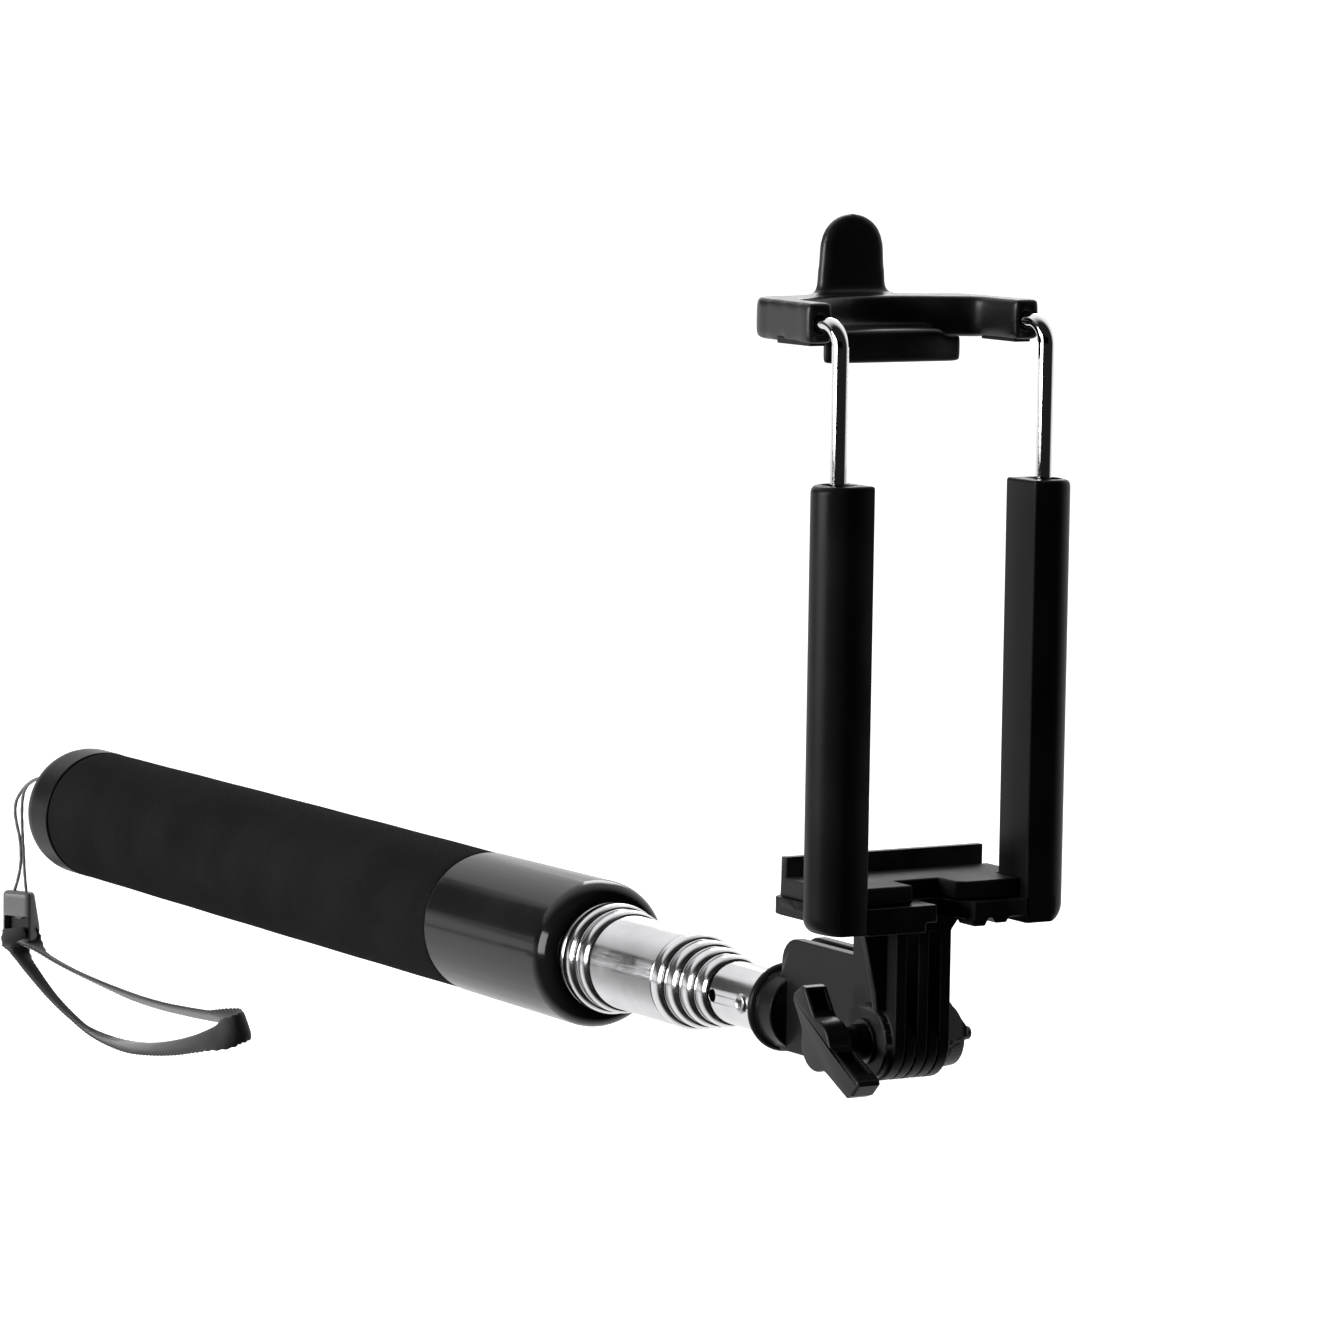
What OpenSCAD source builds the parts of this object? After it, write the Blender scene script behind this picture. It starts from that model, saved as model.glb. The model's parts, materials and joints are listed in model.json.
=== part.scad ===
// Extending hand stick with a tilting, sprung phone clamp and a wrist strap.
// +X runs along the stick from the butt to the head, +Z is up, and the clamp's width is along Y.
// The origin is the middle of the foam sleeve, on the stick's axis.

/* [Grip] */
// Length of the foam sleeve
foam_len = 144; // [130:1:160]
// Outside diameter of the foam sleeve, the end cap and the collar's rear
foam_d = 23.3; // [22:0.1:25]
// Length of the tapered collar in front of the foam
collar_len = 40; // [32:1:50]
// Length of the end cap behind the foam
cap_len = 11.5; // [9:0.5:14]

/* [Tubes] */
// Outside diameter of the widest tube
tube_1_d = 17.7; // [17.5:0.1:17.9]
// Drop in outside diameter from each tube to the next
tube_step = 1.3; // [1.25:0.01:1.35]
// Wall thickness of every tube
tube_wall = 0.4; // [0.35:0.01:0.4]
// Length of each tube that shows when the stick is closed
tube_show = 3.4; // [2.5:0.1:4.5]
// How far the third tube is pulled out of the second
pulled_out = 18.4; // [0:0.1:120]
// Length of the guide ring on the rear end of each sliding tube
ring_len = 40; // [12:1:44]
// Radial clearance of the running fits
fit_gap = 0.05; // [0.03:0.01:0.07]

/* [Head] */
// Length of the thinnest tube that shows behind the head
neck_tube = 14.1; // [12:0.1:30]
// Distance from the head's disc to the tilt axis
head_reach = 32.7; // [31:0.1:38]
// Diameter of the head's disc
disc_d = 13.8; // [12.5:0.1:15]
// Height of the fork's fingers above the tilt axis
finger_top = 11.5; // [9:0.1:11.6]
// Radius of the rounded ends of the fingers and prongs
hinge_r = 6; // [5.6:0.1:6.2]

/* [Clamp] */
// Height of the phone's resting face above the tilt axis
rest_z = 24.6; // [24:0.1:27]
// Height of the opening between the two jaws
phone_gap = 78.6; // [74:0.1:82]
// Height of the tops of the two posts above the tilt axis
post_top = 83.5; // [80:0.5:83.5]
// Distance of each post's centre from the middle plane
post_y = 17.9; // [16:0.1:18.5]
// Width of each post
post_w = 8; // [7.6:0.1:8.4]
// Diameter of the jaw's steel rods
rod_d = 2.5; // [2:0.1:2.8]

/* [Knob] */
// Length of the lower wing from the tilt axis
wing_lower = 12.8; // [10:0.1:14]
// Length of the upper wing from the tilt axis
wing_upper = 9.2; // [8:0.1:12]
// Thickness of the wings
wing_t = 4; // [3:0.1:4.2]
// Distance of the knob's outer face from the middle plane
knob_y = 15; // [14:0.1:17]

/* [Strap] */
// Diameter of the strap's string
string_d = 0.6; // [0.5:0.1:1]
// Diameter of the plain tube that stands for the flat webbing
webbing_d = 2; // [1.6:0.1:2.2]

/* [Hidden] */

round_fn = 64;

// Handle
foam_x = foam_len / 2;
core_r = 9.5;
core_bore_r = tube_1_d / 2;
foam_edge = 0.8;
cap_end = -foam_x - cap_len;
cap_round_x = 5;
cap_round_r = 3.2;
cap_crown = 0.5;
spigot_r = core_bore_r - 0.05;
spigot_len = 7;
cap_pocket_r = 7.2;
cap_wall = 3;
string_y = -3;
string_z = 5.5;
string_hole_r = 1.5;
pin_x = -foam_x + 3.2;
pin_r = 1;
pin_half = 7.8;
collar_front = foam_x + collar_len;
collar_swell = 0.25;
collar_dome = 3.8;
collar_lip_r = core_bore_r + 0.45;

// Tubes
tube_1_rear = -64;
stack_rear = -62;
bead_round = 0.5;
lip_len = 1;
tube_1_show = 3.8;
rivet_back = 4.5;
rivet_r = 1.2;
button_back = 13;
button_r = 1;

// Head
disc_x = collar_front + tube_1_show + 5 * tube_show + pulled_out + neck_tube;
disc_t = 1.7;
pivot_x = disc_x + head_reach;
plug_len = 19;
neck_x = disc_t - head_reach;
neck_len = 4;
finger_y = 1.95;
finger_t = 1.9;
finger_rear = -29;
finger_step = -7.5;
finger_round = 4;
bolt_r = 2;
bolt_bore_r = bolt_r + fit_gap;

// Clamp, measured from the tilt axis
prong_y = 3.9;
prong_t = 1.8;
prong_half = hinge_r;
gap_top = 16.8;
plate_z = 19.2;
pad_z = rest_z - 2.8;
plate_front = -6.4;
plate_rear = 12.2;
plate_y = 18.9;
lip_t = 1.4;
lip_top = rest_z + 2.9;
boss_end = -6.4;
boss_r = 5.6;
nut_boss_end = 8.4;
nut_boss_r = 5.2;
nut_r = 4;
nut_y = 5.8;
nut_t = 2.4;
gusset_end = 8.4;
post_x = 8.2;
post_r = post_w / 2;
post_bottom = 18;
bore_r = 2.6;
bore_bottom = 20;
guide_bottom = 78;
rod_r = rod_d / 2;
rod_foot = 41;
stop_len = 2;
jaw_z = rest_z + phone_gap + 0.2;
jaw_h = 6.2;
rod_z = jaw_z + 3;
bend_r = 3.4;
arm_end = 3.2;
tab_top = 121.6;
spring_r = 2;
wire_r = 0.3;
spring_turns = 10;

// Points of the string: out of the cap's hole, round inside the lock and back.
string_route = [
    [-69, -2.4, 5.5], [-76, -2.4, 5.5], [-82, -2.4, 5.5], [-86, -2.6, 5.4],
    [-90, -3.2, 5], [-93.6, -3.5, 4.3], [-96.8, -3.6, 3], [-99.6, -3.6, 1.3],
    [-101.6, -3.7, -0.7], [-102.2, -3.7, -2.9], [-101.4, -3.7, -5.2], [-100.2, -3.7, -7.4],
    [-99.6, -3.7, -9.9], [-99.5, -3.8, -12.6], [-100.1, -4, -15.2], [-100.9, -4.4, -17.8],
    [-101.2, -4.8, -20.2], [-100.6, -4.6, -21.9], [-99.6, -4, -22.6], [-98.6, -3.4, -21.9],
    [-98, -3.2, -20.2], [-97.5, -3.5, -17.8], [-97, -4, -15.2], [-96.8, -4.3, -12.6],
    [-96.9, -4.4, -9.9], [-97.3, -4.4, -7.2], [-97.6, -4.4, -4.5], [-97.7, -4.4, -1.9],
    [-97.1, -4.5, 0.6], [-95.5, -4.6, 2.6], [-93, -4.6, 4], [-90, -4.4, 4.9],
    [-86, -3.8, 5.4], [-82, -3.6, 5.5], [-76, -3.6, 5.5], [-69, -3.6, 5.5]
];
// Points of the webbing: out of the lock, forward under the grip, round and back.
webbing_route = [
    [-99.5, -5.2, -24.5], [-98.8, -5.2, -27.2], [-96.3, -5.2, -29.2], [-92.8, -5.4, -30.6],
    [-88, -5.8, -32.2], [-82, -6.2, -34.1], [-75.5, -6.6, -35.8], [-66.5, -7.2, -37.5],
    [-57, -7.6, -38.3], [-48, -8, -38.3], [-39, -8.2, -37.7], [-30, -8.2, -36.3],
    [-22, -8.2, -34.6], [-16, -8.2, -33], [-12, -7.9, -31.8], [-9.4, -6.6, -30.8],
    [-8.6, -4.6, -30], [-9.6, -2.4, -29.6], [-12.6, -1, -29.6], [-17.5, -0.4, -29.9],
    [-24, -0.1, -30.5], [-32, 0, -31.1], [-42, 0, -31.7], [-52, 0, -32],
    [-62, -0.1, -31.9], [-71, -0.4, -31.4], [-79.5, -1, -30.6], [-86.5, -1.6, -29.7],
    [-92, -2.2, -28.7], [-96, -2.6, -27.8], [-98.6, -2.7, -26.4], [-99.5, -2.7, -24.5]
];
lock_w = 6;
lock_t = 3.2;
lock_top = -17.5;
lock_bottom = -27;
lock_centre = [-99.6, -4];
lock_turn = 32;
lock_round = 1.2;

// ---- Helpers ----

function arc(cx, cy, r, from, to, steps = 8) =
    [for (i = [0 : steps]) let (a = from + (to - from) * i / steps) [cx + r * cos(a), cy + r * sin(a)]];

function ellipse_arc(cx, cy, rx, ry, from, to, steps = 8) =
    [for (i = [0 : steps]) let (a = from + (to - from) * i / steps) [cx + rx * cos(a), cy + ry * sin(a)]];

// Turns an outline of [radius, x] points about the X axis.
module turned(points) {
    rotate([0, 90, 0]) rotate_extrude($fn = round_fn) polygon(points);
}

module rod_x(x0, x1, r) {
    translate([x0, 0, 0]) rotate([0, 90, 0]) cylinder(h = x1 - x0, r = r, $fn = round_fn);
}

module rod_y(y0, y1, r, tip_r = undef) {
    end_r = is_undef(tip_r) ? r : tip_r;
    translate([0, y0, 0]) rotate([-90, 0, 0]) cylinder(h = y1 - y0, r1 = r, r2 = end_r, $fn = round_fn);
}

// Extrudes an outline of [x, z] points along Y.
module plate_xz(y0, y1) {
    translate([0, y1, 0]) rotate([90, 0, 0]) linear_extrude(y1 - y0) children();
}

// Extrudes an outline of [y, z] points along X.
module plate_yz(x0, x1) {
    translate([x0, 0, 0]) rotate([90, 0, 90]) linear_extrude(x1 - x0) children();
}

module at_pivot() {
    translate([pivot_x, 0, 0]) children();
}

// Places a piece that is drawn for the +Y post, or its mirror image for the -Y one.
module at_post(side) {
    translate([pivot_x + post_x, side * post_y, 0]) mirror([0, side < 0 ? 1 : 0, 0]) children();
}

function unit(v) = v / norm(v);

function tangent(path, i) =
    unit(path[min(i + 1, len(path) - 1)] - path[max(i - 1, 0)]);

// Carries a side vector along the path, turning it as little as it can.
function sides(path, i = 0, last = [0, 0, 1]) =
    i == len(path) ? [] :
    let (t = tangent(path, i), s = unit(last - (last * t) * t))
    concat([s], sides(path, i + 1, s));

module swept(path, d, steps = 8) {
    count = len(path);
    across = sides(path, 0, unit([0.1, 1, 0.2]));
    rings = [for (i = [0 : count - 1]) let (t = tangent(path, i), u = across[i], v = cross(t, u))
        for (k = [0 : steps - 1]) path[i] + d / 2 * (cos(360 * k / steps) * u + sin(360 * k / steps) * v)];
    walls = [for (i = [0 : count - 2]) for (k = [0 : steps - 1])
        let (a = i * steps + k, b = i * steps + (k + 1) % steps) [a, a + steps, b + steps, b]];
    caps = [[for (k = [0 : steps - 1]) k], [for (k = [steps - 1 : -1 : 0]) (count - 1) * steps + k]];
    polyhedron(rings, concat(walls, caps));
}

// ---- Handle ----

module grip_core() {
    color("gray") turned([
        [core_bore_r, -foam_x], [core_r, -foam_x],
        [core_r, collar_front - collar_dome - lip_len], [core_bore_r, collar_front - collar_dome - lip_len]
    ]);
}

module foam_grip() {
    r = foam_d / 2;
    color("#232323") turned(concat(
        [[core_r, -foam_x]],
        arc(r - foam_edge, -foam_x + foam_edge, foam_edge, -90, 0, 4),
        arc(r - foam_edge, foam_x - foam_edge, foam_edge, 0, 90, 4),
        [[core_r, foam_x]]
    ));
}

module end_cap() {
    r = foam_d / 2;
    round_x = cap_end + cap_crown + cap_round_x;
    color("#101010") difference() {
        turned(concat(
            [[0, cap_end], [r - cap_round_r - 4, cap_end + cap_crown * 0.3]],
            ellipse_arc(r - cap_round_r, round_x, cap_round_r, cap_round_x, -90, 0, 8),
            [[r, -foam_x], [spigot_r, -foam_x], [spigot_r, -foam_x + spigot_len],
             [cap_pocket_r, -foam_x + spigot_len], [cap_pocket_r, cap_end + cap_wall + 1],
             [cap_pocket_r - 1, cap_end + cap_wall], [0, cap_end + cap_wall]]
        ));
        translate([0, string_y, string_z]) rod_x(cap_end - 1, cap_end + cap_wall + 2, string_hole_r);
        translate([pin_x, string_y, 0]) cylinder(h = 4 * pin_half, r = pin_r, center = true, $fn = round_fn);
    }
}

module anchor_pin() {
    color("silver") translate([pin_x, string_y, 0])
        cylinder(h = 2 * pin_half, r = pin_r, center = true, $fn = round_fn);
}

module front_collar() {
    r = foam_d / 2;
    wide = r + collar_swell;
    dome_x = collar_front - collar_dome;
    seat_x = dome_x - lip_len;
    bore = core_bore_r + fit_gap;
    color("#151515") turned(concat(
        [[core_r, foam_x], [r - 0.25, foam_x], [r, foam_x + 0.3]],
        ellipse_arc(collar_lip_r, dome_x, wide - collar_lip_r, collar_dome, 0, 90, 8),
        [[bore, collar_front], [bore, seat_x], [core_r, seat_x]]
    ));
}

// ---- Telescopic tubes ----

function tube_r(n) = (tube_1_d - (n - 1) * tube_step) / 2;
function tube_front(n) = collar_front + tube_1_show + (n - 1) * tube_show + (n > 2 ? pulled_out : 0);
function tube_rear(n) = n == 1 ? tube_1_rear : stack_rear + (n > 2 ? pulled_out : 0);

// A tube whose front end is rolled in to guide the next tube.
module drawn_tube(n) {
    r = tube_r(n);
    front = tube_front(n);
    lip_r = tube_r(n + 1) + fit_gap;
    color("silver") turned(concat(
        [[r - tube_wall, tube_rear(n)], [r, tube_rear(n)]],
        arc(r - bead_round, front - bead_round, bead_round, 0, 90, 5),
        [[lip_r, front], [lip_r, front - lip_len], [r - tube_wall, front - lip_len - tube_wall / 2]]
    ));
}

// A nylon ring round the rear end of tube n, which slides in the tube around it.
module guide_ring(n, bore_gap = 0) {
    outer = tube_r(n - 1) - tube_wall - 0.04;
    inner = tube_r(n) + bore_gap;
    rear = tube_rear(n);
    color("ivory") turned([[inner, rear], [outer, rear], [outer, rear + ring_len], [inner, rear + ring_len]]);
}

module tube_1() { drawn_tube(1); }
module tube_2() { drawn_tube(2); }
module tube_3() { drawn_tube(3); }
module tube_4() { drawn_tube(4); }
module tube_5() { drawn_tube(5); }
module tube_6() { drawn_tube(6); }

module tube_7() {
    r = tube_r(7);
    rear = tube_rear(7);
    color("silver") difference() {
        turned([[r - tube_wall, rear], [r, rear], [r, disc_x], [r - tube_wall, disc_x]]);
        translate([disc_x - rivet_back, 0, 0]) rod_y(-2 * r, 2 * r, rivet_r);
        translate([disc_x - button_back, 0, 0]) rod_y(-2 * r, 0, button_r);
    }
}

module tube_2_ring() { guide_ring(2, 0.03); }
module tube_3_ring() { guide_ring(3); }
module tube_4_ring() { guide_ring(4); }
module tube_5_ring() { guide_ring(5); }
module tube_6_ring() { guide_ring(6); }
module tube_7_ring() { guide_ring(7); }

// ---- Head ----

module finger_outline() {
    polygon(concat(
        [[finger_rear, -hinge_r]],
        arc(0, 0, hinge_r, -90, 120, 14),
        [[finger_step + 1, hinge_r + 0.5], [finger_step, hinge_r + 2], [finger_step, finger_top]],
        arc(finger_rear + finger_round, finger_top - finger_round, finger_round, 90, 180, 6)
    ));
}

module head_fork() {
    plug_r = tube_r(7) - tube_wall - 0.02;
    outer_y = finger_y + finger_t / 2;
    color("#1c1c1c") difference() {
        union() {
            rod_x(disc_x - plug_len, disc_x, plug_r);
            turned([
                [0, disc_x], [disc_d / 2 - 0.4, disc_x], [disc_d / 2, disc_x + 0.5],
                [disc_d / 2, disc_x + disc_t - 0.5], [disc_d / 2 - 0.5, disc_x + disc_t], [0, disc_x + disc_t]
            ]);
            at_pivot() {
                rod_x(neck_x, neck_x + neck_len, hinge_r);
                plate_xz(-outer_y, outer_y) polygon([
                    [neck_x, -hinge_r + 0.6], [neck_x + neck_len, -hinge_r],
                    [neck_x + neck_len + 1.4, 6], [neck_x, 5.4]
                ]);
                for (side = [-1, 1])
                    plate_xz(side * finger_y - finger_t / 2, side * finger_y + finger_t / 2) finger_outline();
            }
        }
        at_pivot() rod_y(-2 * outer_y, 2 * outer_y, bolt_bore_r);
        translate([disc_x - rivet_back, 0, 0]) rod_y(-disc_d, disc_d, rivet_r);
        translate([disc_x - button_back, -plug_r, 0]) rod_y(-2, 2, button_r);
    }
}

module head_rivet() {
    r = tube_r(7);
    head_h = 0.35;
    head_r = rivet_r + 0.35;
    color("gray") translate([disc_x - rivet_back, 0, 0]) {
        rod_y(-r, r, rivet_r);
        rod_y(r, r + head_h, head_r, rivet_r);
        mirror([0, 1, 0]) rod_y(r, r + head_h, head_r, rivet_r);
    }
}

// ---- Clamp ----

module prong_outline() {
    polygon(concat([[-prong_half, plate_z]], arc(0, 0, prong_half, 180, 360, 16), [[prong_half, plate_z]]));
}

module base_outline() {
    slot_x = 6;
    corner = 1.5;
    polygon(concat(
        arc(plate_front + corner, -plate_y + corner, corner, 180, 270, 4),
        [[plate_rear, -plate_y], [plate_rear, -1.9], [slot_x, -1.9], [slot_x, 2.2],
         [post_x, 2.2], [plate_rear, 4.9], [plate_rear, plate_y]],
        arc(plate_front + corner, plate_y - corner, corner, 90, 180, 4)
    ));
}

// The section of a post: round on the outer side and flat on the inner one.
module post_outline() {
    circle(r = post_r, $fn = round_fn);
    translate([-post_r, -post_r]) square([post_w, post_r]);
}

module clamp_base() {
    rib_x = 2.1;
    rib_t = 1.3;
    outer_y = prong_y + prong_t / 2;
    color("#1a1a1a") difference() {
        union() {
            at_pivot() {
                translate([0, 0, plate_z]) linear_extrude(pad_z - plate_z) base_outline();
                translate([plate_front, -plate_y + 1.5, plate_z])
                    cube([lip_t, 2 * plate_y - 3, lip_top - plate_z]);
                for (y = [-prong_y, 0, prong_y])
                    plate_xz(y - prong_t / 2, y + prong_t / 2) prong_outline();
                plate_yz(-prong_half, prong_half) polygon([
                    [-outer_y, gap_top], [outer_y, gap_top], [outer_y + 1.4, plate_z - 0.6],
                    [outer_y + 1.4, plate_z], [-outer_y - 1.4, plate_z], [-outer_y - 1.4, plate_z - 0.6]
                ]);
                plate_yz(rib_x, rib_x + rib_t) polygon([
                    [-9.4, plate_z], [-4.6, plate_z], [-4.6, 5], [boss_end, 5], [-6.7, 7.7]
                ]);
                translate([9, -post_y, 17.8]) cube([3.2, post_y - 3.8, plate_z - 17.8]);
                for (rib = [[4.1, 7.2, 18.1], [7.9, 10.9, 18.4]])
                    plate_yz(8, plate_rear) polygon([
                        [rib[0], plate_z], [rib[0] + 0.6, rib[2]], [rib[1] - 0.6, rib[2]], [rib[1], plate_z]
                    ]);
                mirror([0, 1, 0]) rod_y(outer_y - prong_t, -boss_end, boss_r + 0.3, boss_r);
                rod_y(outer_y - prong_t, nut_boss_end, nut_boss_r, nut_boss_r - 0.6);
                plate_yz(nut_r, nut_r + 1.4) polygon([
                    [outer_y - 0.8, 0], [outer_y - 0.8, 7], [outer_y, 6.2],
                    [gusset_end, 1.9], [gusset_end, 0.6]
                ]);
            }
        }
        at_pivot() {
            rod_y(-20, 20, bolt_bore_r);
            translate([0, nut_y, 0]) rotate([-90, 30, 0]) cylinder(h = 10, r = nut_r, $fn = 6);
        }
        for (side = [-1, 1])
            at_post(side) translate([0, 0, post_bottom - 1]) linear_extrude(10) post_outline();
    }
}

// A post with rounded outer corners and a blind bore for the rod and its spring.
module post_body() {
    top_round = 1.2;
    foot_round = 2.5;
    color("#161616") difference() {
        intersection() {
            translate([0, 0, post_bottom]) linear_extrude(post_top - post_bottom) post_outline();
            plate_yz(-post_w, post_w) polygon(concat(
                [[-post_r - 1, post_bottom]],
                arc(post_r - foot_round, post_bottom + foot_round, foot_round, -90, 0, 6),
                arc(post_r - top_round, post_top - top_round, top_round, 0, 90, 6),
                [[-post_r - 1, post_top]]
            ));
        }
        translate([0, 0, bore_bottom]) cylinder(h = post_top, r = bore_r, $fn = round_fn);
    }
}

module left_post() { at_post(-1) post_body(); }
module right_post() { at_post(1) post_body(); }

module rod_guide() {
    color("dimgray") translate([0, 0, guide_bottom]) difference() {
        cylinder(h = post_top - guide_bottom - 0.4, r = bore_r, $fn = round_fn);
        translate([0, 0, -1]) cylinder(h = post_top, r = rod_r + fit_gap, $fn = round_fn);
    }
}

module left_rod_guide() { at_post(-1) rod_guide(); }
module right_rod_guide() { at_post(1) rod_guide(); }

module lower_pad() {
    front = plate_front + lip_t;
    step_x = post_x - post_r - 0.2;
    inner_y = post_y - post_r - 0.2;
    color("#222222") at_pivot() translate([0, 0, pad_z]) linear_extrude(rest_z - pad_z) polygon([
        [front, -plate_y + 0.6], [step_x, -plate_y + 0.6], [step_x, -inner_y], [10.4, -inner_y],
        [10.4, -5], [5, -5], [5, 3], [9.4, 3], [10.4, 4.4], [10.4, inner_y], [step_x, inner_y],
        [step_x, plate_y - 0.6], [front, plate_y - 0.6]
    ]);
}

module hinge_nut() {
    color("silver") at_pivot() translate([0, nut_y, 0]) rotate([-90, 30, 0]) difference() {
        cylinder(h = nut_t, r = nut_r, $fn = 6);
        translate([0, 0, -1]) cylinder(h = 10, r = bolt_bore_r, $fn = round_fn);
    }
}

// ---- Knob ----

bolt_head_y = -13.6;
bolt_end = 9.1;
stem_r = 2.4;
washer_y = boss_end - 0.05;
washer_t = 0.5;

module hinge_bolt() {
    color("silver") at_pivot() {
        rod_y(bolt_head_y, bolt_end, bolt_r);
        rod_y(bolt_end, bolt_end + 3, 1.4, 1);
    }
}

module knob_washer() {
    color("silver") at_pivot() difference() {
        rod_y(washer_y - washer_t, washer_y, 3.4);
        rod_y(-20, 20, bolt_r);
    }
}

// One wing, lying along +X, with a framed pocket on its upper or lower flank.
// The lower corner of its tip stands back by slant.
module wing(length, pocket_side, slant) {
    half = wing_t / 2;
    wide = 3.8;
    tip_corner = 0.7;
    pocket_start = 4.6;
    pocket_frame = 1.4;
    y0 = -knob_y + 0.1;
    difference() {
        plate_xz(y0, y0 + wide) polygon([
            [0, -half], [length - slant - tip_corner, -half], [length - slant, -half + tip_corner],
            [length, half - tip_corner], [length - tip_corner, half], [0, half]
        ]);
        translate([pocket_start, y0 + 0.8, pocket_side > 0 ? half - 0.9 : -half - 1.1])
            cube([length - slant - pocket_frame - pocket_start, wide - 1.6, 2]);
    }
}

module wing_knob() {
    color("#202020") at_pivot() difference() {
        union() {
            rod_y(-knob_y, -knob_y + 4, 3.8);
            rod_y(-knob_y, -8.2, stem_r);
            rod_y(-8.2, washer_y - washer_t, stem_r + 0.3);
            rotate([0, 26, 0]) wing(wing_lower, 1, 1.4);
            rotate([0, -124, 0]) wing(wing_upper, -1, 0);
        }
        rod_y(bolt_head_y, 0, bolt_r);
    }
}

// ---- Upper jaw ----

module jaw_outline() {
    corner = 5;
    corner_x = -11.6;
    corner_y = 14.2;
    bulge_x = 3.7;
    bulge_r = 23.2;
    bulge_a = 30;
    arm_inner = 15.9;
    arm_outer = 20;
    polygon(concat(
        [[arm_end, arm_inner], [arm_end, arm_outer], [arm_end - 0.5, arm_outer + 0.3], [0, arm_outer]],
        arc(corner_x, corner_y, corner, 80, 150, 6),
        arc(bulge_x, 0, bulge_r, 180 - bulge_a, 180 + bulge_a, 16),
        arc(corner_x, -corner_y, corner, 210, 280, 6),
        [[0, -arm_outer], [arm_end - 0.5, -arm_outer - 0.3], [arm_end, -arm_outer], [arm_end, -arm_inner]],
        arc(-5.2, -13.2, 2.6, 270, 200, 5),
        arc(8, 0, 20, 180 + 33, 180 - 33, 12),
        arc(-5.2, 13.2, 2.6, 160, 90, 5)
    ));
}

module upper_jaw() {
    tab_half = 6.2;
    tab_x = -18.7;
    tab_t = 2.5;
    tab_round = 5.4;
    color("#1b1b1b") at_pivot() difference() {
        union() {
            translate([0, 0, jaw_z]) linear_extrude(jaw_h) jaw_outline();
            plate_yz(tab_x, tab_x + tab_t) polygon(concat(
                [[-tab_half, jaw_z + 1], [tab_half, jaw_z + 1]],
                arc(0, tab_top - tab_round, tab_round, 0, 180, 14)
            ));
            translate([-6.6, -12, jaw_z - 3.6]) cube([1.4, 24, 4.2]);
            translate([-12.4, -9, jaw_z]) cube([7.2, 18, 1.6]);
        }
        for (side = [-1, 1]) {
            translate([-5, side * post_y, rod_z]) rod_x(0, 12, rod_r);
            translate([-7, side * post_y - 1.4, jaw_z - 1]) cube([9, 2.8, 1.8]);
        }
    }
}

module jaw_pads() {
    color("#262626") at_pivot() for (side = [-1, 1])
        translate([-7, side * post_y - 1.4, jaw_z - 0.2]) cube([9, 2.8, 1]);
}

// A rod that stands in its post and bends forward into the jaw's arm.
module rod_body() {
    color("silver") {
        translate([0, 0, rod_foot]) cylinder(h = rod_z - bend_r - rod_foot, r = rod_r, $fn = round_fn);
        translate([-bend_r, 0, rod_z - bend_r]) rotate([90, 0, 0])
            rotate_extrude(angle = 90, $fn = round_fn)
                translate([bend_r, 0]) circle(r = rod_r, $fn = round_fn);
        translate([-post_x - 5, 0, rod_z]) rod_x(0, post_x + 5 - bend_r, rod_r);
    }
}

module left_rod() { at_post(-1) rod_body(); }
module right_rod() { at_post(1) rod_body(); }

module rod_stop() {
    color("gray") translate([0, 0, rod_foot]) difference() {
        cylinder(h = stop_len, r = bore_r - 0.08, $fn = round_fn);
        translate([0, 0, -1]) cylinder(h = stop_len + 2, r = rod_r, $fn = round_fn);
    }
}

module left_rod_stop() { at_post(-1) rod_stop(); }
module right_rod_stop() { at_post(1) rod_stop(); }

// A compression spring round the rod, between its stop and the post's guide.
module spring_body() {
    bottom = rod_foot + stop_len + wire_r + 0.1;
    top = guide_bottom - wire_r - 0.1;
    turn_steps = 12;
    count = spring_turns * turn_steps;
    coil = [for (i = [0 : count]) let (a = 360 * i / turn_steps)
        [spring_r * cos(a), spring_r * sin(a), bottom + (top - bottom) * i / count]];
    color("silver") swept(coil, 2 * wire_r, 6);
}

module left_spring() { at_post(-1) spring_body(); }
module right_spring() { at_post(1) spring_body(); }

// ---- Wrist strap ----

module strap_string() {
    color("#303030") swept(string_route, string_d);
}

module strap_lock() {
    color("#4a4a4a") translate([lock_centre[0], lock_centre[1], lock_bottom]) rotate([0, 0, lock_turn])
        linear_extrude(lock_top - lock_bottom) hull() for (x = [-1, 1], y = [-1, 1])
            translate([x * (lock_w / 2 - lock_round), y * (lock_t / 2 - lock_round)])
                circle(r = lock_round, $fn = 32);
}

module strap_webbing() {
    color("#2a2a2a") swept(webbing_route, webbing_d);
}

grip_core();
foam_grip();
end_cap();
anchor_pin();
front_collar();
tube_1();
tube_2();
tube_3();
tube_4();
tube_5();
tube_6();
tube_7();
tube_2_ring();
tube_3_ring();
tube_4_ring();
tube_5_ring();
tube_6_ring();
tube_7_ring();
head_fork();
head_rivet();
clamp_base();
left_post();
right_post();
left_rod_guide();
right_rod_guide();
lower_pad();
hinge_nut();
hinge_bolt();
knob_washer();
wing_knob();
upper_jaw();
jaw_pads();
left_rod();
right_rod();
left_rod_stop();
right_rod_stop();
left_spring();
right_spring();
strap_string();
strap_lock();
strap_webbing();
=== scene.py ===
import json
import math

import bmesh
import bpy
from mathutils import Matrix, Vector


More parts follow.
